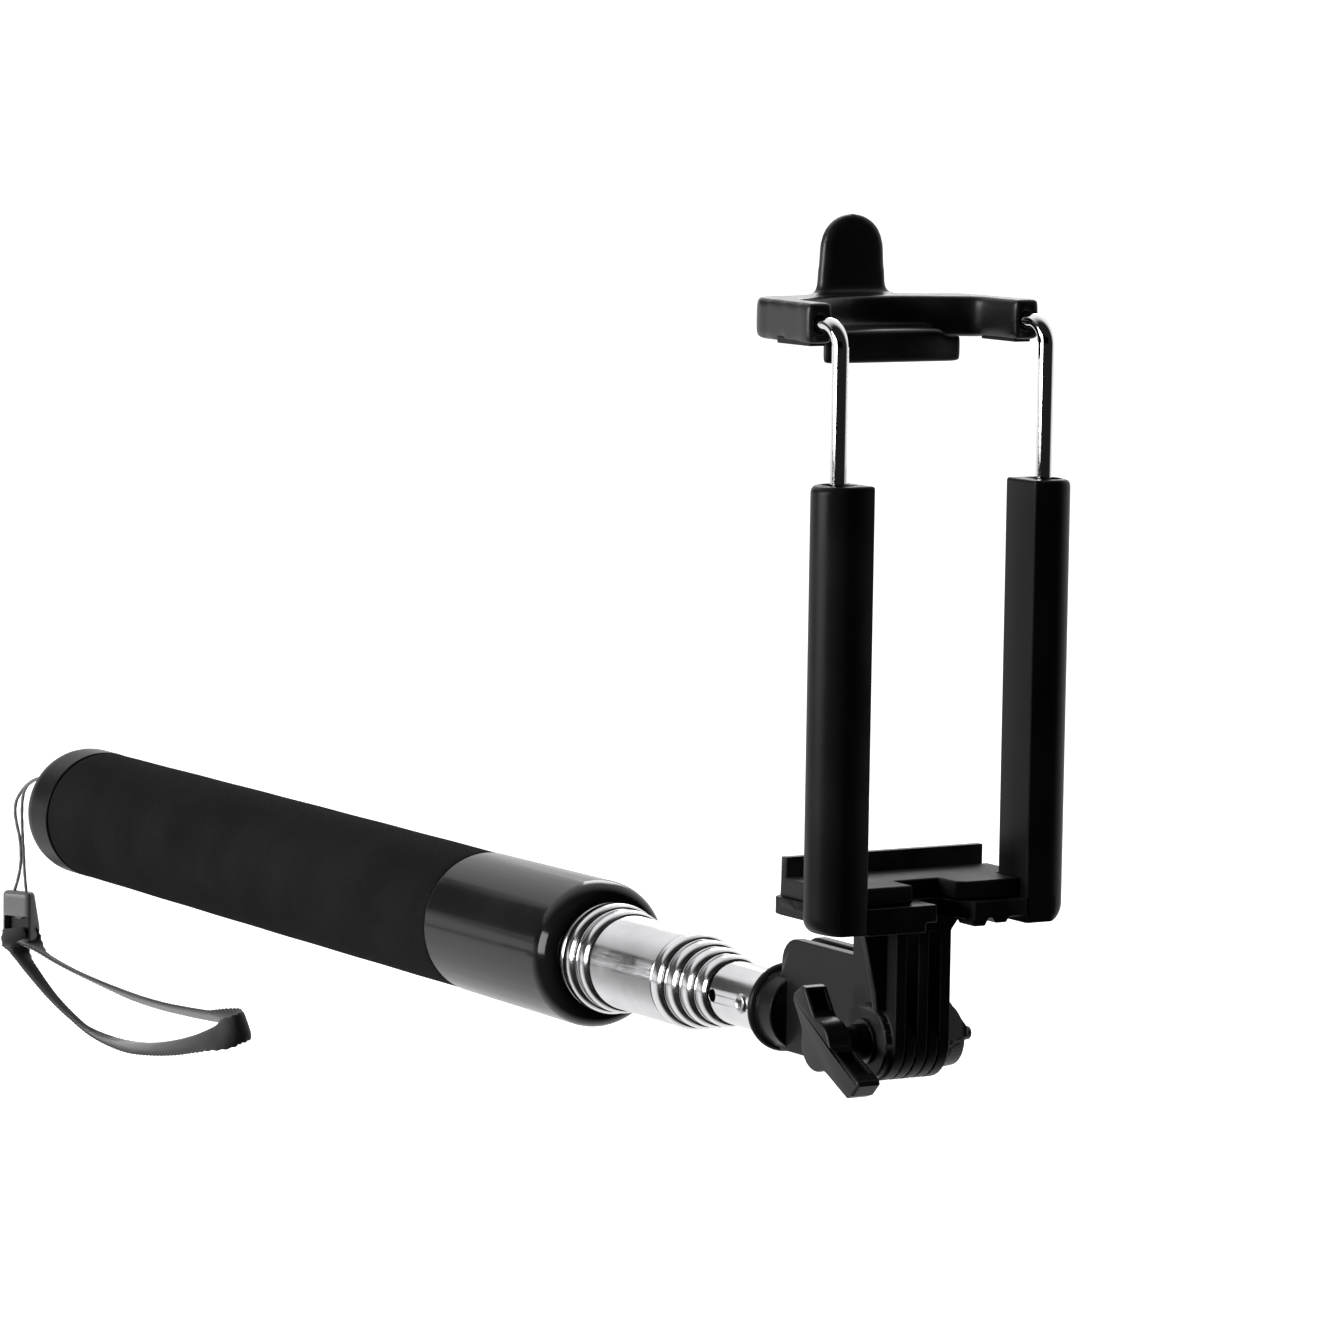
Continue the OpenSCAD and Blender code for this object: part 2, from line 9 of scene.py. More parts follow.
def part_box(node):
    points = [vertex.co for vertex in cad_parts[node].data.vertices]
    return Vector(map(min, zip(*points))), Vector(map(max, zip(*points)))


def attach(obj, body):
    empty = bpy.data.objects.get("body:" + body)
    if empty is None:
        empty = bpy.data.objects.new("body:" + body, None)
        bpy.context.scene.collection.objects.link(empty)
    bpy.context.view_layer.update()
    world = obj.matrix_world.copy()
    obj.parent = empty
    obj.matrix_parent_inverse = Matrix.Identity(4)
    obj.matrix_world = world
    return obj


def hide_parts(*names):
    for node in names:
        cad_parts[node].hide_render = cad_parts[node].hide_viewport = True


# Looks for the extending hand stick, its phone clamp and its wrist strap.
# Everything is in metres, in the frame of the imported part: +X along the stick to the head, +Z up.

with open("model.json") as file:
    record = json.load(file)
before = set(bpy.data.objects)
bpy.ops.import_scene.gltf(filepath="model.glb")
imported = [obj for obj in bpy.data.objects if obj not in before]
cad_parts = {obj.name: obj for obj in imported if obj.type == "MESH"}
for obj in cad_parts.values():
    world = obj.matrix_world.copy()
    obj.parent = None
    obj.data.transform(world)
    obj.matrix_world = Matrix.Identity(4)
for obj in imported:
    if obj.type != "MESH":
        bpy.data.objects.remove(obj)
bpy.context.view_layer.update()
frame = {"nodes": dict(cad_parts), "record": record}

MM = 0.001
TURN = 2 * math.pi
BODY_OF = {
    node: body
    for body, nodes in frame["record"]["behaviour"]["bodies"].items()
    for node in nodes
}

# ---- Camera ----

VIEW_AZIMUTH = math.radians(59.1)
VIEW_ELEVATION = math.radians(6.3)
VIEW_ROLL = math.radians(0.87)
CAMERA_PLACE = Vector((0.9851, -0.5136, 0.1596))
CAMERA_LENS = 174.79


def view_axes():
    """The camera's right, up and back directions."""
    right = Vector((math.cos(VIEW_AZIMUTH), math.sin(VIEW_AZIMUTH), 0))
    back = Vector((
        math.sin(VIEW_AZIMUTH) * math.cos(VIEW_ELEVATION),
        -math.cos(VIEW_AZIMUTH) * math.cos(VIEW_ELEVATION),
        math.sin(VIEW_ELEVATION),
    ))
    up = back.cross(right)
    turned_right = right * math.cos(VIEW_ROLL) + up * math.sin(VIEW_ROLL)
    turned_up = up * math.cos(VIEW_ROLL) - right * math.sin(VIEW_ROLL)
    return turned_right, turned_up, back


def make_camera():
    data = bpy.data.cameras.new("camera")
    data.lens = CAMERA_LENS
    data.sensor_width = 36
    data.clip_start = 0.05
    data.clip_end = 100
    camera = bpy.data.objects.new("camera", data)
    camera.matrix_world = Matrix.Translation(CAMERA_PLACE) @ Matrix(view_axes()).transposed().to_4x4()
    bpy.context.collection.objects.link(camera)
    bpy.context.scene.camera = camera


make_camera()


# ---- Node and material helpers ----

def add_node(tree, kind, inputs=None, **settings):
    """A new node; each input is a value or the socket that feeds it."""
    made = tree.nodes.new(kind)
    for name, value in settings.items():
        setattr(made, name, value)
    for name, value in (inputs or {}).items():
        if isinstance(value, bpy.types.NodeSocket):
            tree.links.new(value, made.inputs[name])
        else:
            made.inputs[name].default_value = value
    return made


def ramp(tree, value, low, high, to_low=0.0, to_high=1.0):
    """value, eased from low..high to to_low..to_high and held at both ends."""
    made = add_node(tree, "ShaderNodeMapRange", {
        "Value": value, "From Min": low, "From Max": high, "To Min": to_low, "To Max": to_high,
    }, interpolation_type="SMOOTHSTEP")
    return made.outputs["Result"]


def maths(tree, operation, a, b=0.0):
    return add_node(tree, "ShaderNodeMath", {0: a, 1: b}, operation=operation).outputs[0]


def noise(tree, place, size, detail=2.0, stretch=(1, 1, 1)):
    """Noise with features about size metres wide, drawn out by stretch."""
    scale = tuple(1 / (size * s) for s in stretch)
    mapped = add_node(tree, "ShaderNodeMapping", {"Vector": place, "Scale": scale})
    made = add_node(tree, "ShaderNodeTexNoise", {
        "Vector": mapped.outputs[0], "Scale": 1.0, "Detail": detail,
    })
    return made.outputs["Fac"]


def cells(tree, place, size):
    """Distance to the nearest of a set of points about size metres apart."""
    made = add_node(tree, "ShaderNodeTexVoronoi", {"Vector": place, "Scale": 1 / size})
    return made.outputs["Distance"]


def grey(level):
    return (level, level, level * 1.02, 1)


def surface(name, dark, light, rough, metallic=0.0, specular=0.5, grain=0.15 * MM, grain_depth=0.02,
            stretch=(1, 1, 1), smudge=14 * MM, wear=0.0, wear_tone=0.12, porous=False, sheen=0.0):
    """A procedural finish: two tones in soft patches, grain in the bump and roughness, and worn edges."""
    grain_in_tone = 0.35
    tone_range = (0.4, 0.95)
    rough_range = (0.6, 1.4)
    worn_edge = (0.53, 0.62)
    worn_patch = (0.35, 0.65)
    made = bpy.data.materials.new(name)
    made.use_nodes = True
    tree = made.node_tree
    shader = tree.nodes["Principled BSDF"]
    place = add_node(tree, "ShaderNodeTexCoord").outputs["Object"]
    patches = noise(tree, place, smudge, detail=3.0)
    fine = cells(tree, place, grain) if porous else noise(tree, place, grain, 3.0, stretch)
    mottle = maths(tree, "ADD", patches, maths(tree, "MULTIPLY", fine, grain_in_tone))
    tone = ramp(tree, mottle, *tone_range)
    colour = add_node(tree, "ShaderNodeMix", {0: tone, 6: grey(dark), 7: grey(light)}, data_type="RGBA")
    base = colour.outputs[2]
    spread = ramp(tree, maths(tree, "ADD", fine, patches), *rough_range, *rough)
    if wear:
        edge = add_node(tree, "ShaderNodeNewGeometry").outputs["Pointiness"]
        rubbed = maths(tree, "MULTIPLY", ramp(tree, edge, *worn_edge), ramp(tree, patches, *worn_patch))
        share = maths(tree, "MULTIPLY", rubbed, wear)
        worn = add_node(tree, "ShaderNodeMix", {0: share, 6: base, 7: grey(wear_tone)}, data_type="RGBA")
        base = worn.outputs[2]
    bump = add_node(tree, "ShaderNodeBump", {
        "Height": fine, "Strength": 1.0, "Distance": grain_depth * MM,
    })
    tree.links.new(base, shader.inputs["Base Color"])
    tree.links.new(spread, shader.inputs["Roughness"])
    tree.links.new(bump.outputs[0], shader.inputs["Normal"])
    shader.inputs["Metallic"].default_value = metallic
    shader.inputs["Specular IOR Level"].default_value = specular
    shader.inputs["Sheen Weight"].default_value = sheen
    shader.inputs["Sheen Roughness"].default_value = 0.4
    return made


FINISH = {
    "foam": surface("foam", 0.004, 0.007, (0.8, 0.95), specular=0.03, grain=0.42 * MM,
                    grain_depth=0.05, porous=True),
    "gloss_black": surface("gloss_black", 0.003, 0.005, (0.10, 0.20), specular=0.3, grain=0.3 * MM,
                           grain_depth=0.0006, wear=0.25),
    "steel_tube": surface("steel_tube", 0.66, 0.82, (0.10, 0.24), metallic=1.0, grain=0.08 * MM,
                          grain_depth=0.0012, stretch=(60, 1, 1), smudge=9 * MM),
    "core_metal": surface("core_metal", 0.50, 0.62, (0.3, 0.45), metallic=1.0, grain=0.1 * MM,
                          grain_depth=0.004, stretch=(1, 30, 1)),
    "nylon_ring": surface("nylon_ring", 0.62, 0.72, (0.4, 0.55), grain=0.2 * MM, grain_depth=0.004),
    "black_plastic": surface("black_plastic", 0.003, 0.005, (0.30, 0.44), specular=0.14, grain=0.16 * MM,
                             grain_depth=0.004, wear=0.5, wear_tone=0.05),
    "knob_plastic": surface("knob_plastic", 0.004, 0.007, (0.28, 0.42), specular=0.25, grain=0.14 * MM,
                            grain_depth=0.004, wear=0.5, wear_tone=0.08),
    "soft_jaw": surface("soft_jaw", 0.004, 0.008, (0.28, 0.42), specular=0.4, grain=0.3 * MM,
                        grain_depth=0.006),
    "pad_rubber": surface("pad_rubber", 0.004, 0.008, (0.5, 0.7), specular=0.25, grain=0.22 * MM,
                          grain_depth=0.015),
    "chrome_rod": surface("chrome_rod", 0.80, 0.90, (0.03, 0.09), metallic=1.0, grain=0.05 * MM,
                          grain_depth=0.0004, stretch=(1, 1, 40)),
    "plain_steel": surface("plain_steel", 0.5, 0.66, (0.25, 0.4), metallic=1.0, grain=0.12 * MM,
                           grain_depth=0.002, stretch=(1, 20, 1)),
    "dark_steel": surface("dark_steel", 0.02, 0.05, (0.3, 0.45), metallic=0.8, grain=0.12 * MM,
                          grain_depth=0.003, stretch=(1, 20, 1), wear=0.5, wear_tone=0.4),
    "strap_cord": surface("strap_cord", 0.05, 0.10, (0.55, 0.8), specular=0.3, grain=0.10 * MM,
                          grain_depth=0.03, sheen=0.2),
    "strap_webbing": surface("strap_webbing", 0.010, 0.030, (0.6, 0.85), specular=0.25, grain=0.12 * MM,
                             grain_depth=0.03, sheen=0.25),
    "lock_plastic": surface("lock_plastic", 0.06, 0.09, (0.35, 0.5), grain=0.15 * MM, grain_depth=0.004,
                            wear=0.5, wear_tone=0.3),
}


# ---- Mesh helpers ----

def place_piece(obj, slot, body, *nodes):
    """Gives a new piece its finish and body, and lets it stand for CAD nodes."""
    obj.data.materials.clear()
    obj.data.materials.append(FINISH[slot])
    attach(obj, body)
    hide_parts(*nodes)


def object_from(name, bm):
    bmesh.ops.recalc_face_normals(bm, faces=bm.faces)
    mesh = bpy.data.meshes.new(name)
    bm.to_mesh(mesh)
    bm.free()
    mesh.shade_smooth()
    obj = bpy.data.objects.new(name, mesh)
    bpy.context.collection.objects.link(obj)
    return obj


# Faces that meet at more than this angle meet in a sharp edge.
SHARP_ANGLE = math.radians(28)


def soften(obj, width, segments=3):
    """Rounds the sharp edges and keeps the flat faces flat to the light."""
    bevel = obj.modifiers.new("rounding", "BEVEL")
    bevel.width = width
    bevel.segments = segments
    bevel.limit_method = "ANGLE"
    bevel.angle_limit = SHARP_ANGLE
    bevel.use_clamp_overlap = False
    bevel.miter_outer = "MITER_ARC"
    flat = obj.modifiers.new("flat_faces", "WEIGHTED_NORMAL")
    flat.weight = 80
    return bevel


def cad_copy(node):
    """The node's shape as a new, joined-up mesh with whole flat faces."""
    same_point = 0.001 * MM
    same_plane = math.radians(0.8)
    bm = bmesh.new()
    bm.from_mesh(frame["nodes"][node].data)
    bmesh.ops.remove_doubles(bm, verts=bm.verts, dist=same_point)
    bmesh.ops.dissolve_limit(bm, angle_limit=same_plane, verts=bm.verts, edges=bm.edges)
    return bm


def moulded(node, slot, rounding, segments=3):
    """A CAD node with moulded edges, standing for that node."""
    obj = object_from(node + "_shape", cad_copy(node))
    soften(obj, rounding, segments)
    place_piece(obj, slot, BODY_OF[node], node)


def lathe(name, profile, segments=128):
    """Turns a closed outline of (x, radius) points about the X axis."""
    bm = bmesh.new()
    rings = []
    for i in range(segments):
        a = TURN * i / segments
        rings.append([bm.verts.new((x, r * math.cos(a), r * math.sin(a))) for x, r in profile])
    for i, ring in enumerate(rings):
        after = rings[(i + 1) % segments]
        for k in range(len(profile)):
            j = (k + 1) % len(profile)
            bm.faces.new((ring[k], ring[j], after[j], after[k]))
    return object_from(name, bm)


def arc(cx, cy, radius, start, end, steps=8):
    """Points of an arc, with its angles in degrees."""
    angles = [math.radians(start + (end - start) * i / steps) for i in range(steps + 1)]
    return [(cx + radius * math.cos(a), cy + radius * math.sin(a)) for a in angles]


def smooth_path(points, step):
    """A Catmull-Rom curve through the points, with samples about step apart, and each sample's place
    along the list of points."""
    points = [Vector(p) for p in points]
    samples = []
    for i in range(len(points) - 1):
        before = points[max(i - 1, 0)]
        after = points[min(i + 2, len(points) - 1)]
        a, b = points[i], points[i + 1]
        count = max(2, round((b - a).length / step))
        for k in range(count):
            t = k / count
            place = 0.5 * (2 * a + (b - before) * t + (2 * before - 5 * a + 4 * b - after) * t ** 2
                           + (3 * a - before - 3 * b + after) * t ** 3)
            samples.append((place, i + t))
    samples.append((points[-1], len(points) - 1.0))
    return samples


def loft(name, rings):
    """A closed skin through rings of equally many points, with both ends covered."""
    bm = bmesh.new()
    rows = [[bm.verts.new(p) for p in ring] for ring in rings]
    for row, after in zip(rows, rows[1:]):
        for k in range(len(row)):
            j = (k + 1) % len(row)
            bm.faces.new((row[k], row[j], after[j], after[k]))
    bm.faces.new(rows[0])
    bm.faces.new(rows[-1])
    return object_from(name, bm)


def inset(outline, distance):
    """A closed outline of 2-D points, counter-clockwise, moved inwards by distance."""
    shortest_cosine = 0.5
    moved = []
    for i, here in enumerate(outline):
        into = (here - outline[i - 1]).normalized()
        out_of = (outline[(i + 1) % len(outline)] - here).normalized()
        inward = Vector((-into.y - out_of.y, into.x + out_of.x)).normalized()
        across = inward.dot(Vector((-into.y, into.x)))
        moved.append(here + inward * distance / max(across, shortest_cosine))
    return moved


def edge_steps(radius, steps=4):
    """(how far in from the end, how far in from the side) for a rounded edge, starting at the end."""
    angles = [math.pi / 2 * i / steps for i in range(steps + 1)]
    return [(radius * (1 - math.cos(a)), radius * (1 - math.sin(a))) for a in angles]


def circle_like(outline, radius):
    """A circle with one point for each of the outline's, in the same directions."""
    return [p.normalized() * radius for p in outline]


def tangents(path):
    last = len(path) - 1
    return [(path[min(i + 1, last)] - path[max(i - 1, 0)]).normalized() for i in range(len(path))]


# ---- Wrist strap ----

STRING_ROUTE = [
    (-0.069, -0.0024, 0.0055), (-0.076, -0.0024, 0.0055), (-0.082, -0.0024, 0.0055),
    (-0.086, -0.0026, 0.0054), (-0.090, -0.0032, 0.005), (-0.0936, -0.0035, 0.0043),
    (-0.0968, -0.0036, 0.003), (-0.0996, -0.0036, 0.0013), (-0.1016, -0.0037, -0.0007),
    (-0.1022, -0.0037, -0.0029), (-0.1014, -0.0037, -0.0052), (-0.1002, -0.0037, -0.0074),
    (-0.0996, -0.0037, -0.0099), (-0.0995, -0.0038, -0.0126), (-0.1001, -0.004, -0.0152),
    (-0.1009, -0.0044, -0.0178), (-0.1012, -0.0048, -0.0202), (-0.1006, -0.0046, -0.0219),
    (-0.0996, -0.004, -0.0226), (-0.0986, -0.0034, -0.0219), (-0.098, -0.0032, -0.0202),
    (-0.0975, -0.0035, -0.0178), (-0.097, -0.004, -0.0152), (-0.0968, -0.0043, -0.0126),
    (-0.0969, -0.0044, -0.0099), (-0.0973, -0.0044, -0.0072), (-0.0976, -0.0044, -0.0045),
    (-0.0977, -0.0044, -0.0019), (-0.0971, -0.0045, 0.0006), (-0.0955, -0.0046, 0.0026),
    (-0.093, -0.0046, 0.004), (-0.090, -0.0044, 0.0049), (-0.086, -0.0038, 0.0054),
    (-0.082, -0.0036, 0.0055), (-0.076, -0.0036, 0.0055), (-0.069, -0.0036, 0.0055),
]
WEBBING_ROUTE = [
    (-0.0995, -0.0052, -0.0245), (-0.0988, -0.0052, -0.0272), (-0.0963, -0.0052, -0.0292),
    (-0.0928, -0.0054, -0.0306), (-0.088, -0.0058, -0.0322), (-0.082, -0.0062, -0.0341),
    (-0.0755, -0.0066, -0.0358), (-0.0665, -0.0072, -0.0375), (-0.057, -0.0076, -0.0383),
    (-0.048, -0.008, -0.0383), (-0.039, -0.0082, -0.0377), (-0.030, -0.0082, -0.0363),
    (-0.022, -0.0082, -0.0346), (-0.016, -0.0082, -0.033), (-0.012, -0.0079, -0.0318),
    (-0.0094, -0.0066, -0.0308), (-0.0086, -0.0046, -0.030), (-0.0096, -0.0024, -0.0296),
    (-0.0126, -0.001, -0.0296), (-0.0175, -0.0004, -0.0299), (-0.024, -0.0001, -0.0305),
    (-0.032, 0, -0.0311), (-0.042, 0, -0.0317), (-0.052, 0, -0.032),
    (-0.062, -0.0001, -0.0319), (-0.071, -0.0004, -0.0314), (-0.0795, -0.001, -0.0306),
    (-0.0865, -0.0016, -0.0297), (-0.092, -0.0022, -0.0287), (-0.096, -0.0026, -0.0278),
    (-0.0986, -0.0027, -0.0264), (-0.0995, -0.0027, -0.0245),
]
STRING_D = 0.6 * MM
WEBBING_W = 5.6 * MM
WEBBING_T = 1.0 * MM
# How far the webbing's width is rolled up from level, in degrees, at some of its route's points. Both of
# its ends lie flat in the lock.
WEBBING_ROLL = {
    2: -23, 3: -27, 5: -32, 7: -32, 8: -12, 10: 15, 12: 36, 14: 50, 16: 89, 18: 70, 20: 31, 22: 29,
    24: 33, 26: 27, 28: 29,
}
LOCK_TURN = math.radians(32)
LOCK_WIDE = Vector((math.cos(LOCK_TURN), math.sin(LOCK_TURN), 0))
LOCK_FRONT = Vector((math.sin(LOCK_TURN), -math.cos(LOCK_TURN), 0))


def make_string():
    """The string, with the raised strands of its braid."""
    step = 0.25 * MM
    path = [p for p, _ in smooth_path(STRING_ROUTE, step)]
    sides = 12
    pitch = 2.4 * MM
    strand = 0.08
    side = Vector((0, 0, 1))
    rings = []
    for i, (place, t) in enumerate(zip(path, tangents(path))):
        side = (side - side.dot(t) * t).normalized()
        other = t.cross(side)
        turn = TURN * i * step / pitch
        ring = []
        for k in range(sides):
            a = TURN * k / sides
            ridge = max(math.cos(2 * a + turn), math.cos(2 * a - turn))
            radius = STRING_D / 2 * (1 - strand + strand * ridge)
            ring.append(place + radius * (math.cos(a) * side + math.sin(a) * other))
        rings.append(ring)
    obj = loft("strap_string_braid", rings)
    place_piece(obj, "strap_cord", "handle", "strap_string")


def rolled(along, degrees):
    """The direction across along that is rolled up from level by degrees."""
    level = Vector((-along.y, along.x, 0)).normalized()
    roll = math.radians(degrees)
    return level * math.cos(roll) + along.cross(level) * math.sin(roll)


def webbing_widths(samples, along):
    """The webbing's width direction at each sample, turned steadily between the points with a roll."""
    named = {
        place: rolled(t, WEBBING_ROLL[place])
        for (_, place), t in zip(samples, along) if place in WEBBING_ROLL
    }
    named[0] = LOCK_WIDE
    named[len(WEBBING_ROUTE) - 1] = -LOCK_WIDE
    wides = []
    for (_, place), t in zip(samples, along):
        after = min(key for key in named if key >= place)
        before = max(key for key in named if key <= place)
        share = (place - before) / max(after - before, 1)
        wide = named[before].lerp(named[after], share)
        wides.append((wide - wide.dot(t) * t).normalized())
    return wides


def make_webbing():
    """The flat webbing, with its knitted ribs and scalloped edges."""
    step = 0.3 * MM
    samples = smooth_path(WEBBING_ROUTE, step)
    path = [p for p, _ in samples]
    along = tangents(path)
    wides = webbing_widths(samples, along)
    ribs = 15
    stitch = 1.3 * MM
    scallop, knit_depth, edge_share = 0.035, 0.18, 0.25
    tucked, tucked_share = 5 * MM, 0.85
    mid_thickness = 0.74
    rings = []
    for i, (place, t, wide) in enumerate(zip(path, along, wides)):
        thick = t.cross(wide)
        wave = TURN * i * step / stitch
        from_lock = min(i, len(path) - 1 - i) * step
        spread = tucked_share + (1 - tucked_share) * min(1, from_lock / tucked)
        reach = WEBBING_W / 2 * (1 - scallop + scallop * math.sin(wave)) * spread
        ring = []
        for face in (1, -1):
            for k in range(ribs):
                u = face * (k / (ribs - 1) * 2 - 1)
                knit = math.sin(wave + (math.pi if k % 2 else 0))
                edge = max(1 - abs(u) ** 6, edge_share)
                half = WEBBING_T / 2 * (mid_thickness + knit_depth * knit) * edge
                ring.append(place + wide * reach * u + thick * half * face)
        rings.append(ring)
    obj = loft("strap_webbing_knit", rings)
    place_piece(obj, "strap_webbing", "handle", "strap_webbing")


def make_lock():
    """The slide lock: a rounded block, deeper towards its foot, whose lower front is open for the webbing."""
    low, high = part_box("strap_lock")
    centre = (low + high) / 2
    half, front, corner = 3.0 * MM, 1.5 * MM, 0.9 * MM
    back_at_top, flare, flare_height = 1.1 * MM, 2.0 * MM, 7 * MM
    tail, tail_height = 1.0 * MM, 2 * MM
    top_edge, foot_edge = 0.8 * MM, 0.4 * MM
    mouth_top = low.z + 4.9 * MM
    mouth_left, mouth_right, mouth_depth = -2.3 * MM, 2.7 * MM, 1.7 * MM
    steps = 8

    def section(back, shrink=0.0):
        corners = [(half, -front, -90), (half, back, 0), (-half, back, 90), (-half, -front, 180)]
        points = []
        for u, v, start in corners:
            cu = u - math.copysign(corner, u)
            cv = v + (corner if v < 0 else -corner)
            points += arc(cu, cv, corner, start, start + 90, 5)
            if start == 180:
                points += [(cu + 2 * (half - corner) * k / steps, -front) for k in range(1, steps)]
        return inset([Vector(p) for p in points], shrink)

    def opened(outline):
        return [
            Vector((p.x, p.y + mouth_depth)) if p.y < 0 and mouth_left < p.x < mouth_right else p
            for p in outline
        ]

    def ring(outline, z):
        return [Vector((centre.x, centre.y, z)) + LOCK_WIDE * p.x - LOCK_FRONT * p.y for p in outline]

    def back_at(z):
        flared = min(1, (high.z - z) / flare_height)
        tapered = max(0, 1 - (z - low.z) / tail_height)
        return back_at_top + flare * flared - tail * tapered ** 2

    rings = [ring(section(back_at(high.z - d), s), high.z - d) for d, s in edge_steps(top_edge)]
    for i in range(1, steps + 1):
        z = high.z - top_edge + (mouth_top - high.z + top_edge) * i / steps
        rings.append(ring(section(back_at(z)), z))
    for i in range(steps + 1):
        z = mouth_top + (low.z + foot_edge - mouth_top) * i / steps
        rings.append(ring(opened(section(back_at(z))), z))
    for d, s in edge_steps(foot_edge)[-2::-1]:
        rings.append(ring(opened(section(back_at(low.z + d), s)), low.z + d))
    obj = loft("strap_lock_shell", rings)
    obj.data.set_sharp_from_angle(angle=math.radians(50))
    place_piece(obj, "lock_plastic", "handle", "strap_lock")
    # Painted shade: the faces of the mouth's floor, where the webbing's end lies, take the webbing's dark
    # finish to stand for the shadow in the recess.
    obj.data.materials.append(FINISH["strap_webbing"])
    floor = mouth_depth - front - 0.2 * MM
    for face in obj.data.polygons:
        from_axis = face.center - centre
        in_shaded_mouth = -from_axis.dot(LOCK_FRONT) > floor and abs(from_axis.dot(LOCK_WIDE)) < mouth_right
        if in_shaded_mouth and face.center.z < mouth_top and face.normal.dot(LOCK_FRONT) > 0.5:
            face.material_index = 1
    return obj


lock = make_lock()
make_string()
make_webbing()


# ---- Handle ----

def make_foam():
    """The foam sleeve: rolled ends and a slightly crowned, uneven skin."""
    low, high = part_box("foam_grip")
    radius = high.y
    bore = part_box("grip_core")[1].y
    edge = 1.0 * MM
    crown, ripple, ripple_turns = 0.08 * MM, 0.02 * MM, 37
    count = 60
    profile = [(low.x, bore)]
    profile += arc(low.x + edge, radius - edge - crown, edge, 180, 90, 6)
    for i in range(1, count):
        t = i / count
        x = low.x + edge + (high.x - low.x - 2 * edge) * t
        dip = crown * (1 - math.sin(math.pi * t))
        profile.append((x, radius - dip + ripple * math.sin(ripple_turns * t)))
    profile += arc(high.x - edge, radius - edge - crown, edge, 90, 0, 6)
    profile.append((high.x, bore))
    obj = lathe("foam_sleeve", profile)
    place_piece(obj, "foam", "handle", "foam_grip")


make_foam()
moulded("end_cap", "black_plastic", 0.25 * MM)
moulded("front_collar", "gloss_black", 0.2 * MM)


# ---- Telescopic tubes ----

TUBE_COUNT = 7
TUBE_WALL = 0.4 * MM


def make_tube(number):
    """A drawn tube whose mouth is rolled to a bead that stays outside the tube around it."""
    node = f"tube_{number}"
    low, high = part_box(node)
    radius = high.y
    clearance = 0.05 * MM
    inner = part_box(f"tube_{number + 1}")[1].y + clearance
    front = high.x
    groove, groove_at, groove_half = 0.1 * MM, 2.9 * MM, 0.2 * MM
    bead, bead_length, bead_root, lip_turn = 0.12 * MM, 2.6 * MM, 0.02 * MM, 0.35 * MM
    steps = 14
    profile = [(low.x, radius - TUBE_WALL), (low.x, radius), (front - groove_at - groove_half, radius)]
    profile += [(front - groove_at, radius - groove), (front - groove_at + groove_half, radius)]
    for i in range(steps + 1):
        t = i / steps
        rise = bead * math.sin(math.pi * t) - lip_turn * t ** 6
        profile.append((front - bead_length * (1 - t), radius - bead_root + rise))
    profile += [(front, inner), (front - 1.0 * MM, inner), (front - 1.2 * MM, radius - TUBE_WALL)]
    obj = lathe(node + "_drawn", profile, 96)
    obj.data.set_sharp_from_angle(angle=math.radians(40))
    place_piece(obj, "steel_tube", BODY_OF[node], node)


for number in range(1, TUBE_COUNT):
    make_tube(number)
moulded("tube_7", "steel_tube", 0.06 * MM, 2)


def make_rivet():
    """The tubular rivet: a rolled rim around a deep hollow at each end."""
    low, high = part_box("head_rivet")
    centre = (low + high) / 2
    head, end = high.x - centre.x, high.y
    hollow, rim, segments = 0.55 * MM, 0.3 * MM, 32
    profile = [(0.02 * MM, end - 1.4 * MM), (0.5 * MM, end - 1.2 * MM), (hollow, end - 0.2 * MM)]
    profile += arc(head - 1.5 * rim, end - rim, rim, 150, 0, 8)
    profile += [(head, end - 0.35 * MM), (head, end - 0.5 * MM), (0.5 * head, end - 0.6 * MM)]
    profile += [(radius, -y) for radius, y in profile[::-1]]
    ring = [Vector(p) for p in arc(0, 0, 1, 0, 360, segments)[:-1]]
    obj = loft("head_rivet_shape", [
        [Vector((centre.x + p.x * radius, centre.y + y, centre.z + p.y * radius)) for p in ring]
        for radius, y in profile
    ])
    place_piece(obj, "plain_steel", BODY_OF["head_rivet"], "head_rivet")


make_rivet()


# ---- Head, clamp and knob ----

def make_clamp_base():
    """The clamp's base, with its edges rounded where no short edge beside them would be overrun."""
    obj = object_from("clamp_base_shape", cad_copy("clamp_base"))
    short = 0.5 * MM
    points = obj.data.vertices
    facing = {}
    for face in obj.data.polygons:
        for key in face.edge_keys:
            facing.setdefault(key, []).append(face.normal)
    crowded = set()
    for edge in obj.data.edges:
        a, b = edge.vertices
        if (points[a].co - points[b].co).length <= short:
            crowded.update((a, b))
    weights = obj.data.attributes.new("bevel_weight_edge", "FLOAT", "EDGE")
    for edge in obj.data.edges:
        sides = facing.get(edge.key, [])
        sharp = len(sides) == 2 and sides[0].dot(sides[1]) < math.cos(SHARP_ANGLE)
        weights.data[edge.index].value = float(sharp and not crowded.intersection(edge.vertices))
    soften(obj, 0.2 * MM).limit_method = "WEIGHT"
    place_piece(obj, "black_plastic", BODY_OF["clamp_base"], "clamp_base")


moulded("head_fork", "black_plastic", 0.3 * MM)
make_clamp_base()
moulded("lower_pad", "pad_rubber", 0.4 * MM)
moulded("hinge_nut", "dark_steel", 0.2 * MM)
moulded("hinge_bolt", "dark_steel", 0.15 * MM)
moulded("knob_washer", "dark_steel", 0.08 * MM, 2)
moulded("jaw_pads", "pad_rubber", 0.2 * MM)
moulded("left_rod", "chrome_rod", 0.1 * MM, 2)
moulded("right_rod", "chrome_rod", 0.1 * MM, 2)


